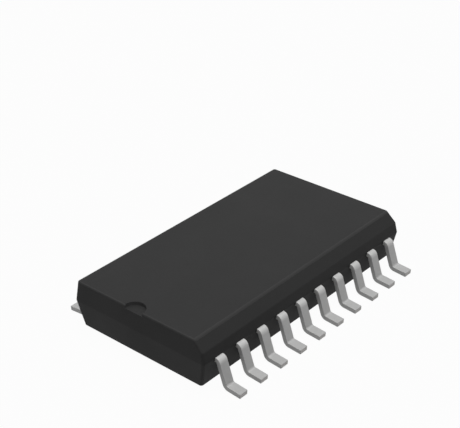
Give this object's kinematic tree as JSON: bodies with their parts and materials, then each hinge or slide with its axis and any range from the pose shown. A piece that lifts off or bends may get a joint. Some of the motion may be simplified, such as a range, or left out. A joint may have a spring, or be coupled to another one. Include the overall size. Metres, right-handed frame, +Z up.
{
  "type": "soic chip",
  "caption": "Surface-mount integrated circuit in a wide small-outline black plastic package with gull-wing leads along both long sides, a bevelled pin-1 side and an end notch.",
  "frame": {"origin": "middle of the package on the board surface, under the centre of the body, at the height of the undersides of the feet", "axes": "+X runs along the body, away from the end with the pin-1 notch. +Z points up, out of the board. Leads 1 to 10 lie along -Y from -X to +X and leads 11 to 20 come back along +Y from +X to -X"},
  "size_m": [0.0132, 0.01, 0.0024],
  "materials": {
    "mould_compound": "matt black moulded epoxy",
    "tinned_lead": "matt tin plating on copper alloy",
    "copper_frame": "bare copper alloy",
    "die_adhesive": "silver-filled adhesive",
    "silicon": "polished silicon",
    "gold_wire": "drawn gold"
  },
  "bodies": {
    "root": {"body": "mould_compound", "die_paddle": "copper_frame", "die_attach": "die_adhesive", "die": "silicon", "lead_01": "tinned_lead", "lead_02": "tinned_lead", "lead_03": "tinned_lead", "lead_04": "tinned_lead", "lead_05": "tinned_lead", "lead_06": "tinned_lead", "lead_07": "tinned_lead", "lead_08": "tinned_lead", "lead_09": "tinned_lead", "lead_10": "tinned_lead", "lead_11": "tinned_lead", "lead_12": "tinned_lead", "lead_13": "tinned_lead", "lead_14": "tinned_lead", "lead_15": "tinned_lead", "lead_16": "tinned_lead", "lead_17": "tinned_lead", "lead_18": "tinned_lead", "lead_19": "tinned_lead", "lead_20": "tinned_lead", "bond_wire_01": "gold_wire", "bond_wire_02": "gold_wire", "bond_wire_03": "gold_wire", "bond_wire_04": "gold_wire", "bond_wire_05": "gold_wire", "bond_wire_06": "gold_wire", "bond_wire_07": "gold_wire", "bond_wire_08": "gold_wire", "bond_wire_09": "gold_wire", "bond_wire_10": "gold_wire", "bond_wire_11": "gold_wire", "bond_wire_12": "gold_wire", "bond_wire_13": "gold_wire", "bond_wire_14": "gold_wire", "bond_wire_15": "gold_wire", "bond_wire_16": "gold_wire", "bond_wire_17": "gold_wire", "bond_wire_18": "gold_wire", "bond_wire_19": "gold_wire", "bond_wire_20": "gold_wire"}
  },
  "joints": []
}
